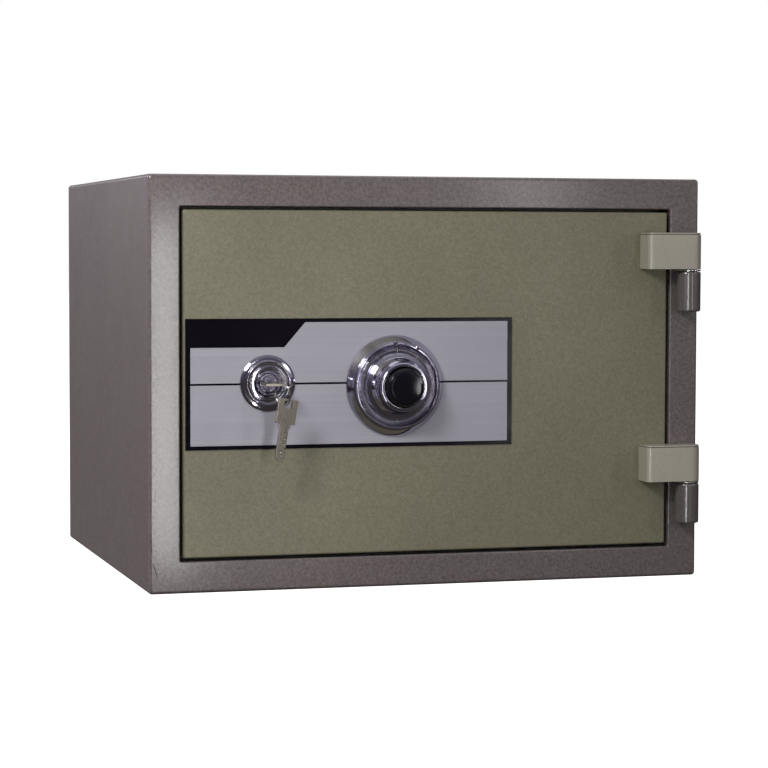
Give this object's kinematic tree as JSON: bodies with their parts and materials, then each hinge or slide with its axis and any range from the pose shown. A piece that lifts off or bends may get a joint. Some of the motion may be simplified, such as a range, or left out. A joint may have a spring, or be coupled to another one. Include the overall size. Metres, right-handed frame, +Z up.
{
  "type": "fireproof document box",
  "caption": "Small fire-resistant safe with a hinged insulated door, sliding live bolts, a key lock with hanging spare key, and a combination dial on a banded trim plate",
  "frame": {"origin": "middle of the base's footprint, on the surface that the box stands on", "axes": "+X to the right seen from the front, +Y from the door to the back, +Z up"},
  "size_m": [0.435, 0.413, 0.31],
  "materials": {
    "body_paint": "taupe pebble-textured powder paint",
    "door_paint": "olive pebble-textured powder paint",
    "trim_print": "silver-lavender print with black bands, satin",
    "chrome": "polished chrome plate",
    "black_gloss": "gloss black",
    "key_nickel": "worn nickel plate, satin",
    "zinc_steel": "bright zinc plate, satin",
    "brass": "plain brass, satin",
    "liner_plastic": "grey moulded plastic, matte",
    "insulation": "cast vermiculite concrete, matte",
    "seal_rubber": "black foamed seal, matte"
  },
  "bodies": {
    "root": {"outer_casing": "body_paint", "rear_panel": "body_paint", "body_insulation": "insulation", "inner_liner": "liner_plastic", "door_jamb": "liner_plastic", "bolt_keeper": "zinc_steel", "shelf": "liner_plastic", "shelf_ledge_left": "liner_plastic", "shelf_ledge_right": "liner_plastic", "hinge_knuckle_lower": "body_paint", "hinge_knuckle_upper": "body_paint", "hinge_pin_lower": "zinc_steel", "hinge_pin_upper": "zinc_steel", "hinge_washer_lower": "zinc_steel", "hinge_washer_upper": "zinc_steel"},
    "door": {"door_skin": "door_paint", "door_insulation": "insulation", "door_inner_pan": "liner_plastic", "door_seal": "seal_rubber", "dead_bar": "zinc_steel", "hinge_arm_lower": "door_paint", "hinge_arm_upper": "door_paint", "trim_plate": "trim_print", "lock_rosette": "chrome", "lock_cylinder_body": "brass", "dial_ring": "chrome", "spindle_tube": "zinc_steel", "mechanism_plate": "zinc_steel", "bolt_guide": "zinc_steel", "carriage_screw_lower": "zinc_steel", "carriage_screw_upper": "zinc_steel", "wheel_case": "zinc_steel", "fence_pivot_pin": "zinc_steel", "pan_screw_left_bottom": "zinc_steel", "pan_screw_left_top": "zinc_steel", "pan_screw_right_bottom": "zinc_steel", "pan_screw_right_top": "zinc_steel", "plate_screw_bottom_left": "zinc_steel", "plate_screw_bottom_right": "zinc_steel", "plate_screw_top_left": "zinc_steel", "plate_screw_top_right": "zinc_steel"},
    "dial": {"dial_disc": "chrome", "dial_knob": "chrome", "dial_cap": "black_gloss", "dial_spindle": "zinc_steel", "drive_wheel": "brass"},
    "wheel_1": {"wheel_1": "brass"},
    "wheel_2": {"wheel_2": "brass"},
    "wheel_3": {"wheel_3": "brass"},
    "fence": {"fence_lever": "brass"},
    "plug": {"lock_plug": "chrome", "lock_cam": "zinc_steel"},
    "key": {"key": "key_nickel"},
    "ring": {"key_ring": "key_nickel"},
    "spare": {"spare_key": "key_nickel"},
    "bolts": {"bolt_carriage": "zinc_steel", "bolt_1": "zinc_steel", "bolt_2": "zinc_steel", "bolt_3": "zinc_steel", "bolt_4": "zinc_steel"}
  },
  "joints": [
    {"name": "door_hinge", "type": "hinge", "parent": "root", "child": "door", "pos_m": [0.2055, -0.1968, 0.155], "axis": [0, 0, 1], "range_deg": [0, 170]},
    {"name": "key_turn", "type": "hinge", "parent": "door", "child": "plug", "pos_m": [-0.128, -0.1925, 0.1555], "axis": [0, 1, 0], "range_deg": [0, 90]},
    {"name": "key_pull", "type": "slide", "parent": "plug", "child": "key", "axis": [0, -1, 0], "range_m": [0, 0.03]},
    {"name": "ring_swing", "type": "hinge", "parent": "key", "child": "ring", "pos_m": [-0.128, -0.2139, 0.1555], "axis": [1, 0, 0], "range_deg": [-10, 10]},
    {"name": "spare_key_swing", "type": "hinge", "parent": "ring", "child": "spare", "pos_m": [-0.1207, -0.2213, 0.14176], "axis": [0.219, -0.7934, 0.568], "range_deg": [-15, 15]},
    {"name": "bolt_throw", "type": "slide", "parent": "door", "child": "bolts", "axis": [-1, 0, 0], "range_m": [0, 0.01697]},
    {"name": "dial_turn", "type": "hinge", "parent": "door", "child": "dial", "pos_m": [-0.0296, -0.1878, 0.1525], "axis": [0, 1, 0], "continuous": true},
    {"name": "wheel_1_turn", "type": "hinge", "parent": "door", "child": "wheel_1", "pos_m": [-0.0296, -0.147, 0.1525], "axis": [0, 1, 0], "continuous": true},
    {"name": "wheel_2_turn", "type": "hinge", "parent": "door", "child": "wheel_2", "pos_m": [-0.0296, -0.1434, 0.1525], "axis": [0, 1, 0], "continuous": true},
    {"name": "wheel_3_turn", "type": "hinge", "parent": "door", "child": "wheel_3", "pos_m": [-0.0296, -0.1398, 0.1525], "axis": [0, 1, 0], "continuous": true},
    {"name": "fence_lift", "type": "hinge", "parent": "door", "child": "fence", "pos_m": [-0.066, -0.14, 0.186], "axis": [0, -1, 0], "range_deg": [0, 8]}
  ],
  "couplings": [
    {"joint": "key_turn", "follows": "bolt_throw", "rad_per_m": 92.56},
    {"joint": "wheel_1_turn", "follows": "dial_turn", "ratio": 1},
    {"joint": "wheel_2_turn", "follows": "dial_turn", "ratio": 1},
    {"joint": "wheel_3_turn", "follows": "dial_turn", "ratio": 1}
  ]
}
